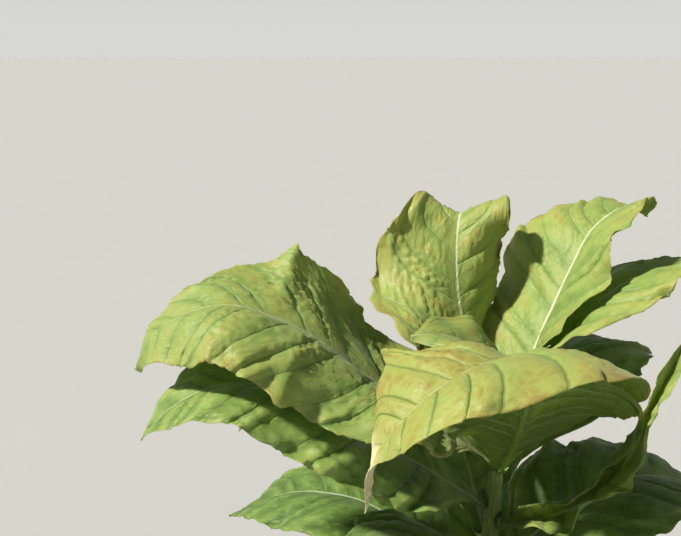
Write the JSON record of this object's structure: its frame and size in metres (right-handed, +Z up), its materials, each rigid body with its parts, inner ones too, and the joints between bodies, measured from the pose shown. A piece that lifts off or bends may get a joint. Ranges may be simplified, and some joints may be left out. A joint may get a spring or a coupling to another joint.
{
  "type": "tobacco plant",
  "caption": "Topped tobacco plant with one upright stem and a spiral of long arching leaves, ripening yellow-green at the top, rooted in level ground.",
  "frame": {"origin": "middle of the flat cut under the stem, at ground level", "axes": "+Z up along the stem, -Y towards the viewer of the picture, +X to the viewer's right"},
  "size_m": [1.0981, 1.0401, 1.0772],
  "materials": {
    "stem": "downy green stalk, matt",
    "ripe_leaf": "ripening leaf, soft sheen",
    "green_leaf": "green leaf, soft sheen",
    "lower_leaf": "older green leaf, matt"
  },
  "bodies": {
    "root": {"stem": "stem", "leaf_01": "ripe_leaf", "leaf_02": "ripe_leaf", "leaf_03_inner": "ripe_leaf", "leaf_03_outer": "ripe_leaf", "leaf_04_inner": "ripe_leaf", "leaf_04_outer": "ripe_leaf", "leaf_05_inner": "ripe_leaf", "leaf_05_outer": "ripe_leaf", "leaf_06_inner": "ripe_leaf", "leaf_06_outer": "ripe_leaf", "leaf_07_inner": "ripe_leaf", "leaf_07_outer": "ripe_leaf", "leaf_08_inner": "green_leaf", "leaf_08_outer": "green_leaf", "leaf_09_inner": "ripe_leaf", "leaf_09_outer": "ripe_leaf", "leaf_10_inner": "ripe_leaf", "leaf_10_outer": "ripe_leaf", "leaf_11_inner": "green_leaf", "leaf_11_outer": "green_leaf", "leaf_12_inner": "green_leaf", "leaf_12_outer": "green_leaf", "leaf_13_inner": "green_leaf", "leaf_13_outer": "green_leaf", "leaf_14_inner": "green_leaf", "leaf_14_outer": "green_leaf", "leaf_15_inner": "lower_leaf", "leaf_15_outer": "lower_leaf", "leaf_16_inner": "lower_leaf", "leaf_16_outer": "lower_leaf", "leaf_17_inner": "lower_leaf", "leaf_17_outer": "lower_leaf", "leaf_18_inner": "lower_leaf", "leaf_18_outer": "lower_leaf", "leaf_19_inner": "lower_leaf", "leaf_19_outer": "lower_leaf", "leaf_20_inner": "lower_leaf", "leaf_20_outer": "lower_leaf"}
  },
  "joints": []
}
